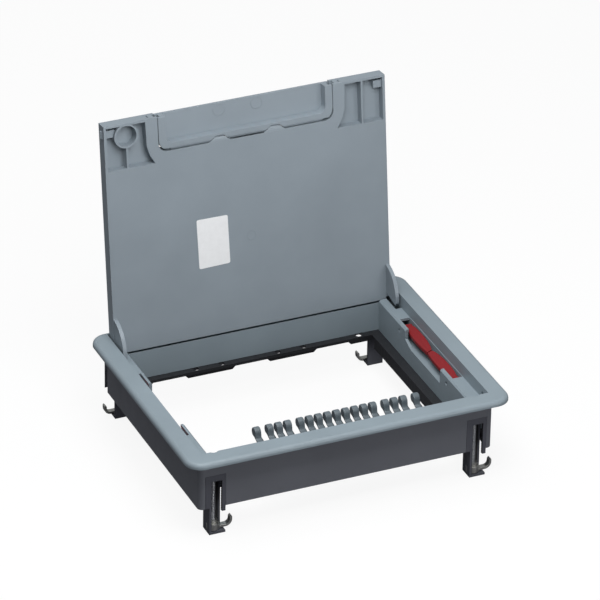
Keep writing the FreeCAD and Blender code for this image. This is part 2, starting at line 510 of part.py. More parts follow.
def main():
    """Build every piece and write it."""
    save("trim_frame", trim_frame())
    save("housing_skirt", housing_skirt())
    save("support_frame", support_frame())
    save("cable_comb", cable_comb())
    save("lever_pins", *lever_pins())
    for side, shape in zip(("right", "left"), both(lid_hinge_pin())):
        save("lid_hinge_pin_" + side, shape)
    save("lid_shell", opened(lid_shell()))
    save("lid_plate", opened(lid_plate()))
    for side, shape in zip(("right", "left"), both(lid_catch())):
        save("lid_catch_" + side, opened(shape))
    save("cable_flap", opened(cable_flap()))
    for side, x in zip(("left", "right"), KNUCKLE_X):
        save("flap_pin_" + side, opened(flap_pin(x)))
    for sx, side in ((1, "right"), (-1, "left")):
        for sy, end in ((1, "rear"), (-1, "front")):
            save("lock_lever_" + side + "_" + end, lever(sx, sy))
            x, back = sx * LEG_X, sy > 0
            corner = "_" + end + "_" + side
            save("claw_guide" + corner, at_corner(claw_guide(), x, back).cut(both(ear_room())))
            save("claw_screw" + corner, at_corner(claw_screw(), x, back))
            save("claw_bush" + corner, at_corner(claw_bush(), x, back))
            save("claw" + corner, at_corner(claw(), x, back))


main()
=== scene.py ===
"""Visual model of a floor socket box with its lid open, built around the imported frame."""

import json
import logging
import math
from dataclasses import dataclass
from enum import Enum
from typing import Sequence

import bmesh
import bpy
from mathutils import Matrix, Vector


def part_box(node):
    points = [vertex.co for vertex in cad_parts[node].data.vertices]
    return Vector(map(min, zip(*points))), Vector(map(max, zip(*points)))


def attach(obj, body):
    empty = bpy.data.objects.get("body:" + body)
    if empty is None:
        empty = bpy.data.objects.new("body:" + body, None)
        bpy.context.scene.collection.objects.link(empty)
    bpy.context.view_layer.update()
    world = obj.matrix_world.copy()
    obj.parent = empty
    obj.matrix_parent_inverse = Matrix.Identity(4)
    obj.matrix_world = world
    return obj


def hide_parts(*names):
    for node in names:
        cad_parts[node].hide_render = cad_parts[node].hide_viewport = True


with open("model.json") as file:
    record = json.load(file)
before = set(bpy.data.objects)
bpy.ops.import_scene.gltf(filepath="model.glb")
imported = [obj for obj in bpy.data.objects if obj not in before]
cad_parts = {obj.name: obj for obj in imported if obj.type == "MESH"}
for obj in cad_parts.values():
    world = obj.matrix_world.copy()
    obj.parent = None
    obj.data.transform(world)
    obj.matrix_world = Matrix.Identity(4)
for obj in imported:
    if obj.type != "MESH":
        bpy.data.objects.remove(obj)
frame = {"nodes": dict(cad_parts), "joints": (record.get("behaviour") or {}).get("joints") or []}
LOG = logging.getLogger("socket_box")
MM = 0.001
WELD = 0.000002
X, Y, Z = Vector((1, 0, 0)), Vector((0, 1, 0)), Vector((0, 0, 1))
Colour = tuple[float, float, float]


def add_node(tree: bpy.types.NodeTree, kind: str, values: dict[object, object] | None,
             settings: dict[str, object]) -> bpy.types.Node:
    """Add a node to a tree.

    Args:
        tree: The tree.
        kind: The node's type.
        values: Its input values, or the sockets that feed them, by input name or number.
        settings: Its properties.

    Returns:
        The new node.
    """
    node = tree.nodes.new(kind)
    for key, value in settings.items():
        setattr(node, key, value)
    for key, value in (values or {}).items():
        if isinstance(value, bpy.types.NodeSocket):
            tree.links.new(value, node.inputs[key])
        else:
            node.inputs[key].default_value = value
    return node


def new_object(name: str, data: bpy.types.ID) -> bpy.types.Object:
    """A new object in the scene."""
    item = bpy.data.objects.new(name, data)
    bpy.context.scene.collection.objects.link(item)
    return item


def settle(piece: bpy.types.Object) -> None:
    """Make what a piece's modifiers give into its plain mesh."""
    view = bpy.context.evaluated_depsgraph_get()
    piece.data = bpy.data.meshes.new_from_object(piece.evaluated_get(view))
    piece.modifiers.clear()


# ---- finishes -----------------------------------------------------------------------------
class Graph:
    """Shader nodes of one material, with short ways to add and join them."""

    def __init__(self, name: str) -> None:
        """Start a material of that name with only its output and shader."""
        self.material = bpy.data.materials.new(name)
        self.material.use_nodes = True
        self.tree = self.material.node_tree
        self.shader = self.tree.nodes["Principled BSDF"]
        place = self.tree.nodes.new("ShaderNodeTexCoord")
        self.place = place.outputs["Object"]

    def add(self, kind: str, values: dict[str, object] | None = None, **settings: object) -> bpy.types.Node:
        """Add a node to the material."""
        return add_node(self.tree, kind, values, settings)

    def feed(self, source: bpy.types.NodeSocket, name: str) -> None:
        """Join a socket to the shader's input of that name."""
        self.tree.links.new(source, self.shader.inputs[name])

    def noise(self, scale: float, detail: float = 2.0) -> bpy.types.NodeSocket:
        """Noise over the piece's own place.

        Args:
            scale: Cycles in a metre.
            detail: How many finer layers it has.

        Returns:
            The noise value's socket.
        """
        node = self.add("ShaderNodeTexNoise", {"Vector": self.place, "Scale": scale, "Detail": detail})
        return node.outputs["Fac"]

    def ramp(self, source: bpy.types.NodeSocket, low: float, high: float,
             start: float = 0.3, end: float = 0.7) -> bpy.types.NodeSocket:
        """Stretch a value between two ends.

        Args:
            source: The value.
            low: Result at the start.
            high: Result at the end.
            start: Value that gives low.
            end: Value that gives high.

        Returns:
            The result's socket.
        """
        node = self.add("ShaderNodeMapRange", {"Value": source, "From Min": start, "From Max": end,
                                               "To Min": low, "To Max": high})
        return node.outputs["Result"]

    def blend(self, factor: bpy.types.NodeSocket, first: Colour, second: Colour) -> bpy.types.NodeSocket:
        """Mix two colours by a factor and return the colour's socket."""
        node = self.add("ShaderNodeMix", {"Factor": factor}, data_type="RGBA")
        colours = [s for s in node.inputs if s.type == "RGBA"]
        colours[0].default_value = (*first, 1.0)
        colours[1].default_value = (*second, 1.0)
        return [s for s in node.outputs if s.type == "RGBA"][0]

    def tint(self, source: bpy.types.NodeSocket, first: Colour, second: Colour) -> None:
        """Let the base colour wander between two colours with a source."""
        self.feed(self.blend(self.ramp(source, 0.0, 1.0), first, second), "Base Color")

    def wear(self, source: bpy.types.NodeSocket, middle: float, below: float, above: float) -> None:
        """Let the roughness wander below and above its middle with a source."""
        self.feed(self.ramp(source, middle - below, middle + above), "Roughness")

    def relief(self, height: bpy.types.NodeSocket, depth: float, edge: float) -> None:
        """Give the shader fine relief over softly rounded edges.

        Args:
            height: Height of the relief, from 0 to 1.
            depth: How deep it is, in metres.
            edge: Radius that edges look rounded to, in metres.
        """
        soft = self.add("ShaderNodeBevel", {"Radius": edge}, samples=4)
        bump = self.add("ShaderNodeBump", {"Height": height, "Distance": depth, "Strength": 1.0,
                                           "Normal": soft.outputs["Normal"]})
        self.feed(bump.outputs["Normal"], "Normal")


def scaled(colour: Colour, factor: float) -> Colour:
    """A colour made lighter or darker."""
    return tuple(min(1.0, channel * factor) for channel in colour)


@dataclass(frozen=True)
class Moulding:
    """Plastic from a spark-eroded mould: fine grain, faint flow clouds and soft edges."""
    name: str
    colour: Colour
    roughness: float = 0.46
    grain: float = 1500.0
    depth: float = 0.000018
    clouds: float = 0.05
    edge: float = 0.0003
    cloud_scale: float = 22.0
    wear_scale: float = 60.0
    specular: float = 0.42

    def material(self) -> bpy.types.Material:
        """Build the material."""
        graph = Graph(self.name)
        graph.tint(graph.noise(self.cloud_scale, 4.0), scaled(self.colour, 1.0 - self.clouds),
                   scaled(self.colour, 1.0 + self.clouds))
        graph.wear(graph.noise(self.wear_scale, 3.0), self.roughness, 0.05, 0.06)
        graph.relief(graph.noise(self.grain), self.depth, self.edge)
        graph.shader.inputs["Specular IOR Level"].default_value = self.specular
        return graph.material


@dataclass(frozen=True)
class Metal:
    """Bare or plated metal with fine drawing marks along one direction."""
    name: str
    colour: Colour
    roughness: float = 0.3
    metallic: float = 1.0
    stretch: Colour = (900.0, 900.0, 60.0)
    depth: float = 0.00001
    edge: float = 0.0002
    tarnish: float = 0.84
    tarnish_scale: float = 140.0

    def material(self) -> bpy.types.Material:
        """Build the material."""
        graph = Graph(self.name)
        along = graph.add("ShaderNodeMapping", {"Vector": graph.place, "Scale": self.stretch})
        marks = graph.add("ShaderNodeTexNoise", {"Vector": along.outputs["Vector"], "Scale": 1.0,
                                                 "Detail": 3.0}).outputs["Fac"]
        graph.tint(graph.noise(self.tarnish_scale, 3.0), scaled(self.colour, self.tarnish), self.colour)
        graph.wear(marks, self.roughness, 0.08, 0.12)
        graph.shader.inputs["Metallic"].default_value = self.metallic
        graph.relief(marks, self.depth, self.edge)
        return graph.material


@dataclass(frozen=True)
class Paper:
    """Coated label paper with faint fibres."""
    name: str
    colour: Colour
    roughness: float = 0.38
    fibres: float = 900.0
    depth: float = 0.000006
    edge: float = 0.00005

    def material(self) -> bpy.types.Material:
        """Build the material."""
        graph = Graph(self.name)
        graph.tint(graph.noise(260.0, 4.0), scaled(self.colour, 0.96), self.colour)
        graph.wear(graph.noise(90.0), self.roughness, 0.05, 0.08)
        graph.relief(graph.noise(self.fibres), self.depth, self.edge)
        return graph.material


class Look(Enum):
    """The finishes of the box, with the record's slot that each belongs to."""
    TRIM = (Moulding("blue_grey_trim", (0.222, 0.270, 0.302), 0.42), "trim_plastic")
    LID = (Moulding("blue_grey_lid", (0.224, 0.263, 0.296), 0.44), "lid_plastic")
    # painted shade: the comb is the trim's blue-grey plastic, darkened to stand in for the shade that falls
    # on its fingers
    COMB = (Moulding("blue_grey_comb", (0.120, 0.146, 0.164), 0.44), "trim_plastic")
    HOUSING = (Moulding("dark_grey_housing", (0.125, 0.131, 0.150), 0.5, 1200.0), "housing_plastic")
    # painted shade: the guides are the housing's dark grey plastic, made darker to stand in for the shade on
    # their sides
    GUIDE = (Moulding("dark_grey_guide", (0.074, 0.077, 0.094), 0.48, 1100.0), "guide_plastic")
    # painted shade: near-black sheets and ribs put inside the guide channels where only shade falls
    LINER = (Moulding("black_guide_liner", (0.008, 0.008, 0.010), 0.55, 1100.0), "guide_plastic")
    LEVER = (Moulding("red_lever", (0.21, 0.005, 0.008), 0.5, 1700.0, 0.000012, 0.06), "red_plastic")
    BLACK = (Metal("black_lacquered_steel", (0.014, 0.015, 0.018), 0.5, 0.0), "black_steel")
    ZINC = (Metal("zinc_plated_steel", (0.60, 0.60, 0.57), 0.34), "zinc_steel")
    SCREW = (Metal("bright_screw_steel", (0.50, 0.51, 0.53), 0.3, 1.0, (1500.0, 1500.0, 900.0)), "dark_steel")
    PLATE = (Metal("brushed_lid_plate", (0.56, 0.57, 0.58), 0.36, 1.0, (14.0, 1800.0, 1800.0)), "plate_steel")
    LABEL = (Paper("bare_label_paper", (0.80, 0.81, 0.82)), "lid_plastic")

    @property
    def slot(self) -> str:
        """The record's material slot."""
        return self.value[1]


class Wardrobe:
    """Builds each finish once and hands it out."""

    def __init__(self) -> None:
        """Start with nothing built."""
        self.built: dict[Look, bpy.types.Material] = {}

    def of(self, look: Look) -> bpy.types.Material:
        """The material of a finish."""
        if look not in self.built:
            self.built[look] = look.value[0].material()
        return self.built[look]


WARDROBE = Wardrobe()


# ---- solids -------------------------------------------------------------------------------
class Solid:
    """Closed mesh, drawn in millimetres, that others are joined to or cut from."""

    def __init__(self, mesh: bpy.types.Mesh) -> None:
        """Hold a mesh."""
        self.mesh = mesh

    @staticmethod
    def _from(work: bmesh.types.BMesh) -> "Solid":
        """Close a working mesh and hold it."""
        bmesh.ops.recalc_face_normals(work, faces=work.faces)
        mesh = bpy.data.meshes.new("solid")
        work.to_mesh(mesh)
        work.free()
        return Solid(mesh)

    @classmethod
    def prism(cls, outline: Sequence[Vector], push: Vector) -> "Solid":
        """Outline pushed along a direction.

        Args:
            outline: Its corners in order.
            push: Direction and depth.

        Returns:
            The solid.
        """
        work = bmesh.new()
        low = [work.verts.new(p) for p in outline]
        high = [work.verts.new(p + push) for p in outline]
        work.faces.new(low)
        work.faces.new(high)
        for k, corner in enumerate(low):
            nxt = (k + 1) % len(low)
            work.faces.new((corner, low[nxt], high[nxt], high[k]))
        return cls._from(work)

    @classmethod
    def drawn(cls, axis: str, outline: Sequence[tuple[float, float]], start: float, depth: float) -> "Solid":
        """Outline on a plane across an axis, pushed along that axis.

        Args:
            axis: X, Y or Z.
            outline: Its corners in order, by their places on the other two axes.
            start: Where the plane is.
            depth: How far it is pushed.

        Returns:
            The solid.
        """
        at = "XYZ".index(axis)
        corners = [Vector((*pair[:at], start, *pair[at:])) for pair in outline]
        return cls.prism(corners, (X, Y, Z)[at] * depth)

    @classmethod
    def box(cls, x: tuple[float, float], y: tuple[float, float], z: tuple[float, float]) -> "Solid":
        """Block between two places on each axis."""
        return cls.drawn("Z", [(x[0], y[0]), (x[1], y[0]), (x[1], y[1]), (x[0], y[1])], z[0], z[1] - z[0])

    @classmethod
    def rod(cls, radius: float, start: Vector, push: Vector, sides: int = 32) -> "Solid":
        """Cylinder from a point along a direction.

        Args:
            radius: Its radius.
            start: Middle of its first end.
            push: Direction and length.
            sides: Facets round it.

        Returns:
            The solid.
        """
        turn = push.to_track_quat("Z", "Y")
        ring = [start + turn @ Vector((radius * math.cos(k * math.tau / sides),
                                       radius * math.sin(k * math.tau / sides), 0)) for k in range(sides)]
        return cls.prism(ring, push)

    @classmethod
    def of_node(cls, name: str) -> "Solid":
        """A copy of a CAD node, with its triangles merged into a closed mesh."""
        work = bmesh.new()
        work.from_mesh(frame["nodes"][name].data)
        bmesh.ops.remove_doubles(work, verts=work.verts, dist=WELD)
        bmesh.ops.dissolve_limit(work, angle_limit=math.radians(0.4), verts=work.verts, edges=work.edges)
        bmesh.ops.scale(work, vec=(1 / MM,) * 3, verts=work.verts)
        mesh = bpy.data.meshes.new(name)
        work.to_mesh(mesh)
        work.free()
        return cls(mesh)

    def _with(self, other: "Solid", operation: str) -> "Solid":
        """Combine with another solid and return the result."""
        first, second = new_object("first", self.mesh), new_object("second", other.mesh)
        step = first.modifiers.new("step", "BOOLEAN")
        step.object, step.operation, step.solver = second, operation, "EXACT"
        view = bpy.context.evaluated_depsgraph_get()
        result = bpy.data.meshes.new_from_object(first.evaluated_get(view))
        for item in (first, second):
            bpy.data.objects.remove(item)
        return Solid(result)

    def join(self, *others: "Solid") -> "Solid":
        """This solid with others added."""
        result = self
        for other in others:
            result = result._with(other, "UNION")
        return result

    def cut(self, *others: "Solid") -> "Solid":
        """This solid with others taken away."""
        result = self
        for other in others:
            result = result._with(other, "DIFFERENCE")
        return result

    def within(self, other: "Solid") -> "Solid":
        """What this solid and another share."""
        return self._with(other, "INTERSECT")

    def moved(self, matrix: Matrix) -> "Solid":
        """A copy turned, moved or mirrored by a matrix."""
        work = bmesh.new()
        work.from_mesh(self.mesh)
        bmesh.ops.transform(work, matrix=matrix, verts=work.verts)
        if matrix.determinant() < 0:
            bmesh.ops.reverse_faces(work, faces=work.faces)
        mesh = bpy.data.meshes.new("moved")
        work.to_mesh(mesh)
        work.free()
        return Solid(mesh)

    def mirrored(self, axis: str) -> "Solid":
        """A mirror image across the middle of the box."""
        return self.moved(Matrix.Scale(-1, 4, X if axis == "X" else Y))


def shown(solid: Solid, name: str, body: str, look: Look, stands_for: Sequence[str] = (),
          edge: float = 0.0) -> bpy.types.Object:
    """Make a piece of a solid.

    Args:
        solid: Its shape in millimetres.
        name: The piece's name.
        body: The CAD body that it moves with.
        look: Its finish.
        stands_for: CAD nodes that it replaces.
        edge: Width of its rounded edges in millimetres.

    Returns:
        The piece.
    """
    work = bmesh.new()
    work.from_mesh(solid.mesh)
    bmesh.ops.remove_doubles(work, verts=work.verts, dist=0.002)
    bmesh.ops.scale(work, vec=(MM,) * 3, verts=work.verts)
    mesh = bpy.data.meshes.new(name)
    work.to_mesh(mesh)
    work.free()
    piece = new_object(name, mesh)
    if edge:
        soft = piece.modifiers.new("edges", "BEVEL")
        soft.width, soft.segments, soft.limit_method = edge * MM, 2, "ANGLE"
        soft.angle_limit = math.radians(40)
        soft.use_clamp_overlap = True
        settle(piece)
    return worn(piece, body, look, stands_for)


def worn(piece: bpy.types.Object, body: str, look: Look, stands_for: Sequence[str] = ()) -> bpy.types.Object:
    """Dress a piece, shade it, and set it on its body."""
    piece.data.materials.clear()
    piece.data.materials.append(WARDROBE.of(look))
    piece.data.polygons.foreach_set("use_smooth", [True] * len(piece.data.polygons))
    piece.data.set_sharp_from_angle(angle=math.radians(28))
    even = piece.modifiers.new("even", "WEIGHTED_NORMAL")
    even.keep_sharp, even.weight = True, 100
    settle(piece)
    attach(piece, body)
    if stands_for:
        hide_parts(*stands_for)
    LOG.info("%s: %d faces on %s", piece.name, len(piece.data.polygons), body)
    return piece


def arc(centre: tuple[float, float], radius: float, first: float, last: float,
        steps: int) -> list[tuple[float, float]]:
    """Points along an arc.

    Args:
        centre: Its centre.
        radius: Its radius.
        first: Angle of its first point in degrees.
        last: Angle of its last point in degrees.
        steps: How many runs it has.

    Returns:
        The points.
    """
    angles = [math.radians(first + (last - first) * k / steps) for k in range(steps + 1)]
    return [(centre[0] + radius * math.cos(a), centre[1] + radius * math.sin(a)) for a in angles]


def through(first: tuple[float, float], middle: tuple[float, float], last: tuple[float, float],
            steps: int = 8) -> list[tuple[float, float]]:
    """Points of a smooth bow through three points."""
    points = []
    for k in range(steps + 1):
        t = k / steps
        weights = ((1 - t) * (1 - 2 * t), 4 * t * (1 - t), t * (2 * t - 1))
        points.append(tuple(sum(w * p[i] for w, p in zip(weights, (first, middle, last))) for i in (0, 1)))
    return points


# ---- geometry node trees ------------------------------------------------------------------
class Tree:
    """Geometry node tree with named inputs, run once on a mesh."""

    def __init__(self, name: str) -> None:
        """Start a tree with a mesh going in and a mesh coming out."""
        self.group = bpy.data.node_groups.new(name, "GeometryNodeTree")
        self.group.interface.new_socket("Geometry", in_out="INPUT", socket_type="NodeSocketGeometry")
        self.group.interface.new_socket("Geometry", in_out="OUTPUT", socket_type="NodeSocketGeometry")
        self.source = self.group.nodes.new("NodeGroupInput")
        self.values: dict[str, object] = {}

    def value(self, name: str, kind: str, value: object) -> bpy.types.NodeSocket:
        """Add a named input.

        Args:
            name: Its name.
            kind: Its socket type.
            value: What the modifier sets it to.

        Returns:
            The socket that gives it.
        """
        socket = self.group.interface.new_socket(name, in_out="INPUT", socket_type=kind)
        self.values[socket.identifier] = value
        return self.source.outputs[name]

    def add(self, kind: str, values: dict[object, object] | None = None,
            **settings: object) -> bpy.types.Node:
        """Add a node to the tree."""
        return add_node(self.group, kind, values, settings)

    def line(self, count: int, start: Vector, pitch: Vector) -> bpy.types.NodeSocket:
        """Points along a straight line, from a start by a pitch."""
        return self.add("GeometryNodeMeshLine", {
            "Count": self.value("Count", "NodeSocketInt", count),
            "Start Location": self.value("Start", "NodeSocketVector", tuple(start)),
            "Offset": self.value("Pitch", "NodeSocketVector", tuple(pitch))}).outputs[0]

    def stand(self, points: bpy.types.NodeSocket) -> bpy.types.NodeSocket:
        """Set the mesh that goes in on each point of a line."""
        return self.add("GeometryNodeInstanceOnPoints", {
            "Points": points, "Instance": self.source.outputs["Geometry"]}).outputs[0]

    def run(self, result: bpy.types.NodeSocket, mesh: bpy.types.Mesh, name: str,
            look: Look) -> bpy.types.Object:
        """End the tree, run it, and make its result a plain mesh.

        Args:
            result: The geometry that the tree makes.
            mesh: The mesh that goes in.
            name: The new piece's name.
            look: Its finish.

        Returns:
            The new object.
        """
        real = self.add("GeometryNodeRealizeInstances", {"Geometry": result})
        finish = self.value("Finish", "NodeSocketMaterial", WARDROBE.of(look))
        dress = self.add("GeometryNodeSetMaterial", {"Geometry": real.outputs[0], "Material": finish})
        end = self.group.nodes.new("NodeGroupOutput")
        self.group.links.new(dress.outputs[0], end.inputs[0])
        piece = new_object(name, mesh)
        step = piece.modifiers.new(name, "NODES")
        step.node_group = self.group
        for identifier, value in self.values.items():
            step[identifier] = value
        settle(piece)
        return piece


# ---- the box ------------------------------------------------------------------------------
SIDES = {"right": 1, "left": -1}
ENDS = {"rear": 1, "front": -1}
OVER = 1.0                             # how far a cut starts outside what it cuts


def span(flip: int, near: float, far: float) -> tuple[float, float]:
    """Two places on one side of the box's middle, in rising order."""
    return (near, far) if flip > 0 else (-far, -near)


def low_of(node: str, axis: str) -> float:
    """Low end of a CAD node's box along an axis, in millimetres."""
    return round(getattr(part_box(node)[0], axis) / MM, 3)


def high_of(node: str, axis: str) -> float:
    """High end of a CAD node's box along an axis, in millimetres."""
    return round(getattr(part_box(node)[1], axis) / MM, 3)


def middle_of(node: str, axis: str) -> float:
    """Middle of a CAD node's box along an axis, in millimetres."""
    return round((low_of(node, axis) + high_of(node, axis)) / 2, 3)


def joint_of(name: str) -> dict[str, object]:
    """The frame's joint of that name."""
    return next(joint for joint in frame["joints"] if joint["name"] == name)


def pivot_of(name: str) -> tuple[float, float]:
    """Where a joint's axis is along y and z in the rest pose, in millimetres."""
    _, y, z = joint_of(name)["pos_m"]
    return round(y / MM, 4), round(z / MM, 4)


class Dimensions:
    """Places of the CAD model that the added pieces go by, in millimetres, with the lid turned shut."""
    flap_back: float = -63.6

    def __init__(self) -> None:
        """Read them from the frame."""
        self.pivot_y, self.pivot_z = pivot_of("lid_hinge")
        self.lid_open = joint_of("lid_hinge")["range_deg"][1]
        self.flange, self.lid_x = high_of("trim_frame", "z"), high_of("lid_shell", "x")
        self.lid_front, self.lid_under = self.shut_low("lid_shell", "y"), self.shut_low("cable_flap", "z")
        axis = self.opened().inverted() @ Vector((0, *pivot_of("flap_hinge")))
        self.flap_axis_y, self.flap_axis_z = round(axis.y, 3), round(axis.z, 3)

    def opened(self) -> Matrix:
        """Turn from the lid's shut place to its open one."""
        pivot = Vector((0, self.pivot_y, self.pivot_z))
        return (Matrix.Translation(pivot) @ Matrix.Rotation(math.radians(-self.lid_open), 4, "X")
                @ Matrix.Translation(-pivot))

    def shut_low(self, node: str, axis: str) -> float:
        """Low end of a CAD node's box along an axis once the lid is turned shut."""
        turn, vertices = self.opened().inverted(), frame["nodes"][node].data.vertices
        return round(min(getattr(turn @ (vertex.co / MM), axis) for vertex in vertices), 3)


DIM = Dimensions()


@dataclass
class TrimFrame:
    """Flange, ledges and inner walls, with the hinge trough and the floors behind the side windows."""
    trough: float = 10.1
    trough_front: float = 82.0
    trough_back: float = 96.3
    trough_x: float = 111.6
    floor_z: float = -18.5
    floor_t: float = 2.0
    floor_x: tuple[float, float] = (107.6, 117.6)
    floor_y: float = 41.5
    ledge_z: float = -6.0
    well_x: float = 106.0
    bevel: float = 1.2
    bevel_y: tuple[float, float] = (-83.0, 82.0)
    steps: int = 14

    def trough_fill(self) -> Solid:
        """Filling that makes the hinge trough hollow round the lid's pivot."""
        def fall(y: float) -> float:
            """Height of the hollow at a place along y."""
            return DIM.pivot_z - math.sqrt(self.trough ** 2 - (y - DIM.pivot_y) ** 2)
        width = self.trough_back - self.trough_front
        bed = DIM.pivot_z - self.trough - OVER
        top = [self.trough_front + width * k / self.steps for k in range(self.steps + 1)]
        profile = [(y, fall(y)) for y in top] + [(self.trough_back, bed), (self.trough_front, bed)]
        return Solid.drawn("X", profile, -self.trough_x, 2 * self.trough_x)

    def floor(self, flip: int) -> Solid:
        """Floor behind the window of one side."""
        return Solid.box(span(flip, *self.floor_x), (-self.floor_y, self.floor_y),
                         (self.floor_z - self.floor_t, self.floor_z))

    def ledge_bevel(self, flip: int) -> Solid:
        """What the bevel takes off the inner edge of one side's ledge."""
        start, end = self.bevel_y
        near, low = self.well_x - OVER, self.ledge_z - self.bevel - OVER
        high = self.ledge_z + OVER
        far = self.well_x + self.bevel + OVER
        edge = [(flip * near, low), (flip * near, high), (flip * far, high)]
        return Solid.drawn("Y", edge, start, end - start)

    def build(self) -> None:
        """Make the frame."""
        body = Solid.of_node("trim_frame").join(self.trough_fill())
        for flip in SIDES.values():
            body = body.join(self.floor(flip)).cut(self.ledge_bevel(flip))
        shown(body, "trim_moulding", "box_frame", Look.TRIM, ["trim_frame"])


@dataclass
class Levers:
    """Four red rocker levers, hollowed for a finger tip and sloping down towards the well."""
    pin_y: float = pivot_of("lever_pivot_right_rear")[0]
    pin_z: float = pivot_of("lever_pivot_right_rear")[1]
    pin_x: tuple[float, float] = (107.6, high_of("lever_pins", "x"))
    pin_r: float = 1.5
    pin_room: float = 0.1
    inner: float = 109.4
    outer: float = high_of("lock_lever_right_rear", "x")
    belly: float = 109.0
    top: float = -7.5
    low: float = -9.9
    thick: float = 5.0
    eye: float = 3.4
    edge: float = 0.45
    meet: float = low_of("lock_lever_right_rear", "y")
    end: float = 46.0
    plan_z: tuple[float, float] = (-22.0, -2.0)
    waist: float = 113.9
    slack: float = 0.8
    groove: tuple[float, float] = (2.2, 30.0)

    def plan(self) -> Solid:
        """Outline from above, pushed up through the lever's whole height."""
        near = self.outer - self.slack
        inner = through((self.inner + 0.6, self.meet), (self.belly, 22.0), (110.9, 41.0))
        outer = through((near, 40.0), (self.outer, 30.0), (self.outer, 22.0), 5)
        outer += through((self.outer, 20.0), (115.6, 9.0), (self.waist, self.meet), 6)
        outline = inner + [(110.6, self.end), (near, self.end)] + outer
        return Solid.drawn("Z", outline, self.plan_z[0], self.plan_z[1] - self.plan_z[0])

    def lever(self) -> Solid:
        """The rear lever on the right."""
        floor = self.top - self.thick
        start = self.belly - OVER
        side = [(self.meet, floor), (self.meet, self.top), (36.0, self.top), (38.7, self.top - 0.6),
                (self.pin_y + 1.0, self.pin_z + self.eye), (self.pin_y, self.pin_z - 1.0), (36.5, floor)]
        profile = Solid.drawn("X", side, start, self.outer - start)
        slope = (self.top - self.low) / (self.outer - self.belly)
        far = self.outer + OVER
        roof = [(start, self.low - slope), (far, self.top + slope), (far, 4), (start, 4)]
        body = self.plan().within(profile).cut(Solid.drawn("Y", roof, -OVER, 60))
        pin = Vector((self.inner, self.pin_y, self.pin_z))
        body = body.join(Solid.rod(self.eye, pin, X * (self.outer - self.inner)))
        hollow = Solid.box((self.inner + 1.2, self.outer - 1.8), self.groove, (floor - OVER, floor + 1.6))
        return body.cut(Solid.rod(self.pin_r + self.pin_room, pin - X, X * 12), hollow)

    def pins(self) -> Solid:
        """The four hinge pins, set back in the inner walls."""
        near, far = self.pin_x
        rods = [Solid.rod(self.pin_r, Vector((flip * near, back * self.pin_y, self.pin_z)),
                          X * flip * (far - near), 24)
                for flip in SIDES.values() for back in ENDS.values()]
        return rods[0].join(*rods[1:])

    def build(self) -> None:
        """Make the four levers."""
        first = self.lever()
        for side, flip in SIDES.items():
            for end, back in ENDS.items():
                solid = first if back > 0 else first.mirrored("Y")
                solid = solid if flip > 0 else solid.mirrored("X")
                shown(solid, f"rocker_lever_{side}_{end}", f"lever_{side}_{end}", Look.LEVER,
                      [f"lock_lever_{side}_{end}"], self.edge)
        shown(self.pins(), "lever_hinge_pins", "box_frame", Look.BLACK, ["lever_pins"], 0.2)


@dataclass
class Comb:
    """Row of springy fingers that hold the cables apart, on a foot bar."""
    first: float = -54.1
    last: float = 77.4
    wider: float = 2.9
    count: int = 17
    steps: tuple[int, ...] = (1, 4, 13, 16)
    width: float = 5.2
    tip: tuple[float, float] = (-48.9, -15.6)
    foot: tuple[float, float] = (-82.0, -30.4)
    bulb: float = 3.9
    bar_x: tuple[float, float] = (low_of("cable_comb", "x"), high_of("cable_comb", "x"))
    bar_y: float = -92.9
    bar_grip: float = 2.4
    bar_high: float = 1.9

    @property
    def pitch(self) -> float:
        """From one finger to the next in a group."""
        return (self.last - self.first - self.wider * len(self.steps)) / (self.count - 1)

    def finger(self) -> Solid:
        """One finger: rising blade, narrow neck and round hooked tip with a hollow below it."""
        run = Vector((0, self.tip[0] - self.foot[0], self.tip[1] - self.foot[1]))
        along = run.normalized()
        up = Vector((0, -along.z, along.y))
        origin = Vector((0, *self.foot))

        def at(share: float, rise: float) -> Vector:
            """Point at a share of the finger's length and a rise above its line."""
            return origin + run * share + up * rise
        shape = [at(-0.05, -1.8), at(0.5, -2.2), at(0.8, -2.4), at(0.93, -2.9)]
        shape += [at(1, 0) + (along * math.cos(a) + up * math.sin(a)) * self.bulb
                  for a in (math.radians(-85 + 20 * k) for k in range(13))]
        shape += [at(0.86, -0.6), at(0.83, -1.1), at(0.78, -0.9), at(0.73, 0.7), at(0.66, 2.2),
                  at(0.5, 2.9), at(0.2, 3.2), at(-0.05, 3.2)]
        half = self.width / 2
        return Solid.prism([p - X * half for p in shape], X * self.width)

    def build(self) -> None:
        """Make the row of fingers and the bar that it stands on."""
        tree = Tree("finger_row")
        line = tree.line(self.count, X * self.first * MM, X * self.pitch * MM)
        wider = tree.value("Wider gap", "NodeSocketFloat", self.wider * MM)
        index = tree.add("GeometryNodeInputIndex").outputs[0]
        gaps = None
        for step in self.steps:
            past = tree.add("ShaderNodeMath", {0: index, 1: step - 0.5}, operation="GREATER_THAN").outputs[0]
            gaps = past if gaps is None else tree.add("ShaderNodeMath", {0: gaps, 1: past}).outputs[0]
        extra = tree.add("ShaderNodeMath", {0: gaps, 1: wider}, operation="MULTIPLY").outputs[0]
        shift = tree.add("ShaderNodeCombineXYZ", {"X": extra}).outputs[0]
        spread = tree.add("GeometryNodeSetPosition", {"Geometry": line, "Offset": shift}).outputs[0]
        finger = shown(self.finger(), "finger", "box_frame", Look.COMB, (), 0.8)
        mesh = finger.data
        bpy.data.objects.remove(finger)
        fingers = tree.run(tree.stand(spread), mesh, "comb_fingers", Look.COMB)
        worn(fingers, "box_frame", Look.COMB, ["cable_comb"])
        y, z = self.foot
        bar = Solid.box(self.bar_x, (self.bar_y, y + self.bar_grip),
                        (low_of("cable_comb", "z"), z + self.bar_high))
        shown(bar, "comb_bar", "box_frame", Look.COMB, (), 0.4)


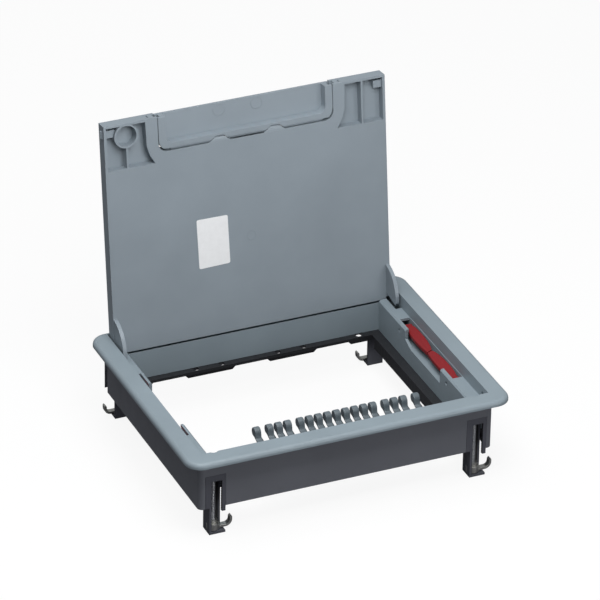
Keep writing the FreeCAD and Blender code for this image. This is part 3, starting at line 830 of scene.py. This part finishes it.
@dataclass
class Rail:
    """Sheet steel frame under the walls: thin punched shelf with a tabbed lip along the back."""
    top: float = high_of("support_frame", "z")
    sheet: float = 1.0
    shelf_y: tuple[float, float] = (70.0, 99.0)
    deep: float = -40.0
    lip_y: float = 76.4
    tab_root: float = 0.8
    inset: float = 0.01
    lip: float = 2.5
    drop: float = 2.4
    half: float = 98.0
    tab: float = 42.0
    pitch: float = 69.0
    shift: float = -4.7

    def build(self) -> None:
        """Make the frame."""
        steel = Solid.of_node("support_frame")
        inside = (self.inset - self.half, self.half - self.inset)
        front, back = self.shelf_y
        steel = steel.cut(Solid.box(inside, (front, self.lip_y), (self.deep, self.top + OVER)),
                          Solid.box(inside, (front, back), (self.deep, self.top - self.sheet)))
        low = self.top - self.lip
        root = low + self.tab_root
        steel = steel.join(Solid.box((-self.half - OVER, self.half + OVER),
                                     (self.lip_y, self.lip_y + self.sheet), (low, self.top - 2 * self.inset)))
        for k in (-1, 0, 1, 2):
            middle = self.shift + (k - 0.5) * self.pitch
            left, right = middle - self.tab / 2, middle + self.tab / 2
            outline = [(left, root), (left, low), (left + self.drop, low - self.drop),
                       (right - self.drop, low - self.drop), (right, low), (right, root)]
            if left < -self.half:
                outline[0:3] = [(-self.half, root), (-self.half, low - self.drop)]
            if right > self.half:
                outline[-3:] = [(self.half, low - self.drop), (self.half, root)]
            if min(x for x, _ in outline) < self.half and left < self.half and right > -self.half:
                steel = steel.join(Solid.drawn("Y", outline, self.lip_y + self.inset,
                                               self.sheet - 2 * self.inset))
        shown(steel, "steel_rail_frame", "box_frame", Look.BLACK, ["support_frame"])


@dataclass
class Lid:
    """Lid moulding, cable flap, bare label and the small marks of the mould."""
    back: float = 7.0
    lid_corner: float = 7.4
    flap_corner: float = 9.5
    flap_x: float = 72.0
    gap: float = 0.5
    nose: float = 0.7
    rim: float = 6.0
    tray_corner: float = 6.0
    skin: float = 2.4
    knuckles: tuple[float, float] = (-22.4, 23.4)
    base: float = 19.5
    tip: float = 6.0
    knuckle: float = 2.0
    heel: float = 2.3
    skin_corner: float = 8.4
    swing: float = 0.4
    pin: float = 1.05
    root: float = 0.6
    snap_x: float = 72.25
    snap_half: float = 2.5
    snap_deep: float = 9.0
    snap_z: tuple[float, float] = (-3.4, 1.9)
    slit_z: tuple[float, float] = (-2.6, 1.4)
    keel_in: float = 3.6
    web_high: float = 4.8
    web_room: float = 2.8
    clear: float = 7.0
    clear_y: float = -71.0
    clear_z: tuple[float, float] = (-7.0, 0.5)
    pin_deep: tuple[float, float] = (11.0, 13.4)
    slit_x: tuple[float, float] = (6.2, 7.4)
    slit_deep: float = 1.4
    ring_deep: float = 0.16
    ring_high: float = 0.5
    ring_wide: float = 0.45
    label_t: float = 0.2
    label_lift: float = 0.14
    label_from: float = 190.3
    label_round: float = 1.2
    label_bow: float = 0.35
    label_corners: tuple[tuple[float, float], ...] = ((-44.3, 99.9), (-18.5, 99.6),
                                                      (-17.8, 59.5), (-43.5, 58.9))

    @staticmethod
    def notch(half: float, back: float, radius: float, z: tuple[float, float], front: float) -> Solid:
        """Block with rounded back corners.

        Args:
            half: Half its width.
            back: Its back edge.
            radius: Rounding of its back corners.
            z: Its underside and top.
            front: Its front edge.

        Returns:
            The solid.
        """
        outline = [(half, front)] + arc((half - radius, back - radius), radius, 0, 90, 10)
        outline += arc((radius - half, back - radius), radius, 90, 180, 10) + [(-half, front)]
        return Solid.drawn("Z", outline, z[0], z[1] - z[0])

    def web(self, x: float, grow: float) -> Solid:
        """Tapered web of one knuckle, or the room for it.

        Args:
            x: Middle of the knuckle.
            grow: How much larger than the web.

        Returns:
            The solid.
        """
        tip, base = self.tip / 2 + grow, self.base / 2 + grow
        front = DIM.flap_axis_y - self.knuckle - grow
        root = DIM.flap_back + self.root
        outline = [(x - base, root), (x - tip, front), (x + tip, front), (x + base, root)]
        low = DIM.lid_under - (OVER if grow else 0.0)
        high = self.web_high + (self.web_room if grow else 0.0)
        web = Solid.drawn("Z", outline, low, high)
        if grow:
            return web
        start = Vector((x - base, DIM.flap_axis_y, DIM.flap_axis_z))
        nose = Solid.rod(self.knuckle, start, X * 2 * base, 24)
        rest = Solid.box((x - base, x + base), (DIM.flap_axis_y, root), (-6, 1))
        return web.within(nose.join(rest))

    def corner_fill(self, flip: int) -> Solid:
        """Filling that rounds one back corner of the flap's opening."""
        half, radius = self.flap_x + self.gap, self.lid_corner
        over_x, over_y = half + 0.4, DIM.flap_back + 0.4
        outline = [(over_x, DIM.flap_back - radius)]
        outline += arc((half - radius, DIM.flap_back - radius), radius, 0, 90, 10)
        outline += [(half - radius, over_y), (over_x, over_y)]
        outline = [(flip * x, y) for x, y in outline]
        return Solid.drawn("Z", outline, DIM.lid_under, DIM.flange - DIM.lid_under)

    def snap(self, flip: int) -> Solid:
        """Snap opening in the free edge at one end of the flap."""
        x = span(flip, self.snap_x - self.snap_half, self.snap_x + self.snap_half)
        return Solid.box(x, (DIM.lid_front - OVER, DIM.lid_front + self.snap_deep), self.snap_z)

    def slit(self, flip: int) -> Solid:
        """Slit in the free edge beside a snap opening."""
        x = span(flip, self.snap_x + self.slit_x[0], self.snap_x + self.slit_x[1])
        return Solid.box(x, (DIM.lid_front - OVER, DIM.lid_front + self.slit_deep), self.slit_z)

    def shell(self) -> Solid:
        """The lid moulding, drawn shut."""
        body = Solid.of_node("lid_shell").moved(DIM.opened().inverted())
        x = DIM.lid_x - self.keel_in
        keel = Solid.box((-x, x), (DIM.pivot_y - OVER, DIM.pivot_y + self.back),
                         (DIM.lid_under, DIM.pivot_z + OVER))
        body = body.join(keel, self.corner_fill(1), self.corner_fill(-1))
        for middle in self.knuckles:
            x = (middle - self.clear, middle + self.clear)
            body = body.cut(Solid.box(x, (self.clear_y, DIM.flap_back - 0.001), self.clear_z))
            body = body.join(self.web(middle, 0.0)).cut(self.bore(middle, self.pin, self.pin_deep[0]))
        for flip in SIDES.values():
            body = body.cut(self.snap(flip), self.slit(flip))
        return body

    def bore(self, middle: float, radius: float, half: float) -> Solid:
        """Rod on the flap's axis, to either side of a knuckle's middle."""
        return Solid.rod(radius, Vector((middle - half, DIM.flap_axis_y, DIM.flap_axis_z)), X * 2 * half, 20)

    def flap(self) -> Solid:
        """The cable flap, drawn shut: a shallow tray with rounded corners."""
        front, back = DIM.lid_front + self.nose, DIM.flap_back - self.gap
        body = self.notch(self.flap_x, back, self.flap_corner, (DIM.lid_under, DIM.flange), front)
        heel = Solid.box((-80, 80), (DIM.flap_axis_y, -60), (-8, DIM.flap_axis_z))
        reach = self.flap_x - self.flap_corner
        body = body.cut(heel).join(Solid.rod(self.heel, Vector((-reach, DIM.flap_axis_y, DIM.flap_axis_z)),
                                             X * 2 * reach, 24),
                                   self.notch(self.flap_x, back, self.skin_corner,
                                              (DIM.flange - self.skin / 2, DIM.flange), front))
        tray = self.notch(self.flap_x - self.rim, back - self.rim, self.tray_corner,
                          (DIM.lid_under - OVER, DIM.flange - self.skin), front - OVER)
        body = body.cut(tray, self.snap(1), self.snap(-1))
        for middle in self.knuckles:
            body = body.cut(self.web(middle, self.swing), self.bore(middle, self.pin + 0.1, self.pin_deep[1]))
        return body

    def mark(self, x: float, y: float, z: float, radius: float) -> Solid:
        """Ring that an ejector pin leaves on a face that looks down when the lid is shut."""
        start = Vector((x, y, z - self.ring_deep))
        ring = Solid.rod(radius, start, Z * self.ring_high, 40)
        return ring.cut(Solid.rod(radius - self.ring_wide, start - Z, Z * 3, 40))

    def label(self) -> Solid:
        """Bare label stuck on the lid's inner face."""
        flat = [Vector((x, DIM.lid_front + self.label_from - u, 0)) for x, u in self.label_corners]
        outline: list[Vector] = []
        for k, corner in enumerate(flat):
            before, after = (flat[k - 1] - corner).normalized(), (flat[(k + 1) % 4] - corner).normalized()
            outline += [corner + before * self.label_round, corner + (before + after) * self.label_bow,
                        corner + after * self.label_round]
        return Solid.prism([p + Z * (DIM.lid_under - self.label_lift) for p in outline], Z * self.label_t)

    def build(self) -> None:
        """Make the lid's pieces and turn them open."""
        turn = DIM.opened()
        shown(self.shell().moved(turn), "lid_moulding", "lid", Look.LID, ["lid_shell"])
        shown(self.flap().moved(turn), "flap_moulding", "flap", Look.LID, ["cable_flap"], 0.25)
        shown(self.label().moved(turn), "bare_label", "lid", Look.LABEL)
        middle = self.mark(0.8, DIM.lid_front + 111.5, DIM.lid_under, 4.0)
        shown(middle.moved(turn), "mould_mark_lid", "lid", Look.LID)
        for k, x in enumerate((-19.1, 12.0)):
            ring = self.mark(x, DIM.lid_front + 6.6, DIM.flange - self.skin, 5.0)
            shown(ring.moved(turn), f"mould_mark_flap_{k + 1}", "flap", Look.LID)


def at_corner(end: str, side: str, x: float, front: float, rear: float) -> Matrix:
    """Place of a claw piece that is drawn with its front face at y 0.

    Args:
        end: Front or rear.
        side: Left or right.
        x: Middle of the guide, from the middle of the box.
        front: Front face of the housing.
        rear: Back face of the housing.

    Returns:
        The matrix that puts it at its corner.
    """
    place = Vector((SIDES[side] * x, rear if end == "rear" else front, 0))
    return Matrix.Translation(place) @ Matrix.Rotation(math.pi if end == "rear" else 0.0, 4, "Z")


@dataclass
class ClawMechanism:
    """Claw guides with their ribbed channels, lined in near-black as painted shade, and the bent claws."""
    x: float = middle_of("claw_guide_front_right", "x")
    front: float = low_of("claw_guide_front_right", "y")
    rear: float = high_of("claw_guide_rear_right", "y")
    half: float = 8.2
    leg_left: float = -4.8
    leg_wall: float = 1.4
    depth: float = 12.4
    wall: float = 1.8
    top: float = high_of("claw_guide_front_right", "z")
    low: float = low_of("claw_guide_front_right", "z")
    skirt_low: float = low_of("housing_skirt", "z")
    slot: tuple[float, float] = (-3.1, 5.4)
    slot_top: float = -19.7
    park_top: float = -47.0
    screw_y: float = 5.6
    bore: float = 2.2
    strap: float = 2.0
    strap_w: float = 4.4
    reach: float = 15.2
    bend: float = 5.4
    hook: float = 8.4
    blunt: float = 0.8
    point: float = 1.4
    strap_z: float = -63.6
    bush_z: float = -60.4
    eye: float = 5.0
    eye_high: float = 5.4
    eye_bore: float = 3.35
    eye_sink: float = 4.45
    rib_pitch: float = 1.5
    rib_y: tuple[float, float] = (0.5, 1.7)
    rib_high: float = 0.75
    rib_foot: float = 0.6
    fin_x: tuple[float, float] = (112.0, 117.3)
    fin_y: tuple[float, float] = (64.3, 96.2)
    fin_z: tuple[float, float] = (-25.0, -5.0)

    def guide(self) -> Solid:
        """Upright channel with its slot, its side opening and its foot."""
        w, t, left = self.half, self.wall, self.leg_left
        foot, back = self.low + t, self.depth - t
        body = Solid.box((-w, w), (0, self.depth), (self.skirt_low, self.top))
        body = body.join(Solid.box((left, w), (0, self.depth), (self.low, self.skirt_low + OVER)))
        return body.cut(
            Solid.box((left + self.leg_wall, w - t), (t, back), (foot, self.top - t)),
            Solid.box(self.slot, (-OVER, t + OVER), (foot, self.slot_top)),
            Solid.box((w - t - 0.5, w + OVER), (t, back), (foot, self.slot_top)),
            Solid.box((self.slot[1] - OVER, w + OVER), (-OVER, back), (foot, self.park_top)),
            Solid.rod(self.bore, Vector((0, self.screw_y, self.low - OVER)), Z * 60, 24))

    def claw(self) -> Solid:
        """Strap bent up at its end, with an eye round the bush."""
        centre, tip = (self.reach - self.bend, self.bend), self.reach - self.strap
        outline = [(0.0, 0.0)] + arc(centre, self.bend, -90, 0, 8)
        outline += [(self.reach, self.hook - self.blunt), (self.reach - self.blunt, self.hook),
                    (tip, self.hook - self.point)]
        outline += arc(centre, self.bend - self.strap, 0, -90, 8) + [(0.0, self.strap)]
        strap = Solid.drawn("Y", [(x, self.strap_z + z) for x, z in outline], self.screw_y - self.strap_w / 2,
                            self.strap_w)
        foot = Vector((0, self.screw_y, self.strap_z))
        sink = Z * (self.bush_z - self.strap_z + OVER)
        return strap.join(Solid.rod(self.eye, foot, Z * self.eye_high)).cut(
            Solid.rod(self.eye_bore, foot - Z, Z * 12), Solid.rod(self.eye_sink, foot - Z, sink))

    def shade_liner(self) -> Solid:
        """Near-black sheets of painted shade on the channel's back and closed side."""
        x, back = self.leg_left + 1.45, self.depth - self.wall
        ends = (self.low + self.wall + 0.05, self.top - self.wall - 0.1)
        shade = Solid.box((x, self.half - self.wall - 0.1), (back - 0.4, back - 0.05), ends)
        return shade.join(Solid.box((x, x + 0.35), (self.wall + 0.1, back - 0.2), ends))

    def ribs(self, name: str, place: Matrix) -> bpy.types.Object:
        """Row of ribs up the closed edge of the slot.

        Args:
            name: The piece's name.
            place: Where the guide stands.

        Returns:
            The new object.
        """
        rib = Solid.box((self.slot[1] - 0.5, self.slot[1] + 0.05), self.rib_y, (0, self.rib_high))
        tree = Tree(name)
        count = int((self.slot_top - self.park_top) / self.rib_pitch)
        line = tree.line(count, Z * (self.park_top + self.rib_foot), Z * self.rib_pitch)
        # the ribs wear the same near-black painted shade as the linings
        piece = tree.run(tree.stand(line), rib.mesh, name, Look.LINER)
        piece.data.transform(Matrix.Scale(MM, 4) @ place)
        return piece

    def build(self) -> None:
        """Make the guides, painted-shade linings, ribs and claws at the four corners."""
        guide, claw, shade_liner = self.guide(), self.claw(), self.shade_liner()
        for side, flip in SIDES.items():
            for end in ENDS:
                place, key = at_corner(end, side, self.x, self.front, self.rear), f"{end}_{side}"
                solid, shade_lining = guide.moved(place), shade_liner.moved(place)
                if end == "rear":
                    fin = Solid.box(span(flip, *self.fin_x), self.fin_y, self.fin_z)
                    solid, shade_lining = solid.cut(fin), shade_lining.cut(fin)
                shown(solid, f"guide_{key}", "box_frame", Look.GUIDE, [f"claw_guide_{key}"])
                # painted shade: a near-black sheet inside the channel
                shown(shade_lining, f"guide_lining_{key}", "box_frame", Look.LINER)
                worn(self.ribs(f"guide_ribs_{key}", place), "box_frame", Look.LINER)
                shown(claw.moved(place), f"bent_claw_{key}", f"claw_{key}", Look.ZINC, [f"claw_{key}"], 0.35)


@dataclass
class ClampScrews:
    """Threads on the four claw screws."""
    x: float = middle_of("claw_screw_rear_right", "x")
    rear_y: float = middle_of("claw_screw_rear_right", "y")
    front_y: float = middle_of("claw_screw_front_right", "y")
    foot: float = -65.4
    top: float = -15.6
    pitch: float = 0.7
    radius: float = 2.0
    ridge: float = 0.19
    round_steps: int = 12

    def thread(self, name: str, place: Vector) -> bpy.types.Object:
        """One thread as a ridge that winds up the shank.

        Args:
            name: The piece's name.
            place: Foot of the screw in millimetres.

        Returns:
            The new object.
        """
        tree = Tree(name)
        turns = tree.value("Turns", "NodeSocketFloat", (self.top - self.foot) / self.pitch)
        height = tree.value("Height", "NodeSocketFloat", (self.top - self.foot) * MM)
        radius = tree.value("Radius", "NodeSocketFloat", self.radius * MM)
        ridge = tree.value("Ridge", "NodeSocketFloat", self.ridge * MM)
        foot = tree.value("Foot", "NodeSocketVector", tuple(place * MM))
        helix = tree.add("GeometryNodeCurveSpiral", {
            "Resolution": self.round_steps, "Rotations": turns,
            "Start Radius": radius, "End Radius": radius, "Height": height})
        section = tree.add("GeometryNodeCurvePrimitiveCircle", {"Resolution": 4, "Radius": ridge})
        wound = tree.add("GeometryNodeCurveToMesh", {
            "Curve": helix.outputs[0], "Profile Curve": section.outputs[0], "Fill Caps": True})
        placed = tree.add("GeometryNodeTransform", {"Geometry": wound.outputs[0], "Translation": foot})
        return tree.run(placed.outputs[0], bpy.data.meshes.new(name), name, Look.SCREW)

    def build(self) -> None:
        """Make the four threads."""
        for side, flip in SIDES.items():
            for end, y in (("rear", self.rear_y), ("front", self.front_y)):
                piece = self.thread(f"thread_{end}_{side}", Vector((flip * self.x, y, self.foot)))
                worn(piece, f"screw_{end}_{side}", Look.SCREW)


class Nodes:
    """Finishes of the CAD nodes that stay."""
    LOOKS = {"housing_skirt": Look.HOUSING, "claw_screw": Look.SCREW, "claw_bush": Look.ZINC,
             "lid_plate": Look.PLATE, "lid_catch": Look.LID, "lid_hinge_pin": Look.ZINC,
             "flap_pin": Look.ZINC}

    def build(self) -> None:
        """Dress every node by the name that it starts with."""
        for name, node in frame["nodes"].items():
            for key, look in self.LOOKS.items():
                if name.startswith(key):
                    node.data.materials.clear()
                    node.data.materials.append(WARDROBE.of(look))
                    LOG.info("%s dressed", name)


# ---- studio -------------------------------------------------------------------------------
@dataclass
class Studio:
    """Pale floor, soft lights and the camera."""
    azimuth: float = -24.0
    elevation: float = 29.99
    roll: float = 0.96
    aim: tuple[float, float, float] = (-0.01874, -0.04596, 0.08963)
    distance: float = 3.7269
    lens: float = 300.0
    sky: float = 0.32
    white: float = 1.0

    def camera(self) -> None:
        """Set the camera at the viewing angle, rolled a little."""
        az, el, roll = (math.radians(a) for a in (self.azimuth, self.elevation, self.roll))
        back = Vector((math.sin(az) * math.cos(el), -math.cos(az) * math.cos(el), math.sin(el)))
        right = (-back).cross(Z).normalized()
        up = right.cross(-back)
        level = right * math.cos(roll) + up * math.sin(roll)
        upright = up * math.cos(roll) - right * math.sin(roll)
        place = Vector(self.aim) + back * self.distance
        data = bpy.data.cameras.new("camera")
        data.lens, data.sensor_width = self.lens, 36.0
        camera = new_object("camera", data)
        camera.matrix_world = Matrix.Translation(place) @ Matrix((level, upright, back)).transposed().to_4x4()
        bpy.context.scene.camera = camera

    def world(self) -> None:
        """Soft even light, and plain white where the camera looks past everything."""
        world = bpy.data.worlds.new("studio")
        bpy.context.scene.world = world
        world.use_nodes = True
        nodes, links = world.node_tree.nodes, world.node_tree.links
        path = nodes.new("ShaderNodeLightPath")
        seen = nodes.new("ShaderNodeBackground")
        seen.inputs["Color"].default_value = (1, 1, 1, 1)
        seen.inputs["Strength"].default_value = self.white
        lit = nodes["Background"]
        lit.inputs["Color"].default_value = (0.96, 0.98, 1.0, 1)
        lit.inputs["Strength"].default_value = self.sky
        mix = nodes.new("ShaderNodeMixShader")
        links.new(path.outputs["Is Camera Ray"], mix.inputs[0])
        links.new(lit.outputs[0], mix.inputs[1])
        links.new(seen.outputs[0], mix.inputs[2])
        links.new(mix.outputs[0], nodes["World Output"].inputs["Surface"])

    def lamp(self, name: str, place: Vector, size: float, power: float, aim: Vector) -> None:
        """Add a soft square lamp.

        Args:
            name: Its name.
            place: Where it hangs, in metres.
            size: Its side in metres.
            power: Its power in watts.
            aim: The point that it faces.
        """
        data = bpy.data.lights.new(name, "AREA")
        data.size, data.energy = size, power
        lamp = new_object(name, data)
        turn = (aim - place).to_track_quat("-Z", "Y").to_matrix().to_4x4()
        lamp.matrix_world = Matrix.Translation(place) @ turn

    def floor(self) -> None:
        """Pale floor under the claw guides, which keeps the shadow and throws little light back up."""
        low = min(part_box(name)[0].z for name in frame["nodes"])
        half = 6.0
        corners = [(-half, -half, low), (half, -half, low), (half, half, low), (-half, half, low)]
        mesh = bpy.data.meshes.new("floor")
        mesh.from_pydata(corners, [], [(0, 1, 2, 3)])
        floor = new_object("floor", mesh)
        graph = Graph("pale_floor")
        graph.shader.inputs["Base Color"].default_value = (0.12, 0.12, 0.13, 1)
        graph.shader.inputs["Roughness"].default_value = 0.9
        pale = graph.add("ShaderNodeBsdfDiffuse", {"Color": (0.9, 0.9, 0.9, 1)})
        glow = graph.add("ShaderNodeEmission", {"Color": (1, 1, 1, 1), "Strength": self.white})
        seen = graph.add("ShaderNodeMixShader", {"Fac": 0.9})
        path = graph.add("ShaderNodeLightPath")
        mix = graph.add("ShaderNodeMixShader", {"Fac": path.outputs["Is Camera Ray"]})
        link = graph.tree.links.new
        link(pale.outputs[0], seen.inputs[1])
        link(glow.outputs[0], seen.inputs[2])
        link(graph.shader.outputs[0], mix.inputs[1])
        link(seen.outputs[0], mix.inputs[2])
        link(mix.outputs[0], graph.tree.nodes["Material Output"].inputs["Surface"])
        mesh.materials.append(graph.material)

    def build(self) -> None:
        """Set up the whole studio."""
        bpy.context.scene.view_settings.view_transform = "Standard"
        self.camera()
        self.world()
        self.floor()
        aim = Vector((0, 0, 0.06))
        self.lamp("key", Vector((-0.05, -0.26, 0.58)), 0.35, 3.1, Vector((0.0, 0.12, 0.17)))
        self.lamp("top", Vector((-0.5, 0.3, 2.2)), 1.5, 22.0, aim)
        self.lamp("side", Vector((0.9, -2.2, 0.12)), 1.2, 19.0, aim)


def main() -> None:
    """Build the studio and every piece."""
    logging.basicConfig(level=logging.INFO, format="%(name)s: %(message)s")
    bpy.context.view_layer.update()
    parts = (Studio(), Nodes(), TrimFrame(), Levers(), Comb(), Rail(), Lid(), ClawMechanism(), ClampScrews())
    for part in parts:
        part.build()
        LOG.info("%s done", type(part).__name__)


if __name__ == "__main__":
    main()
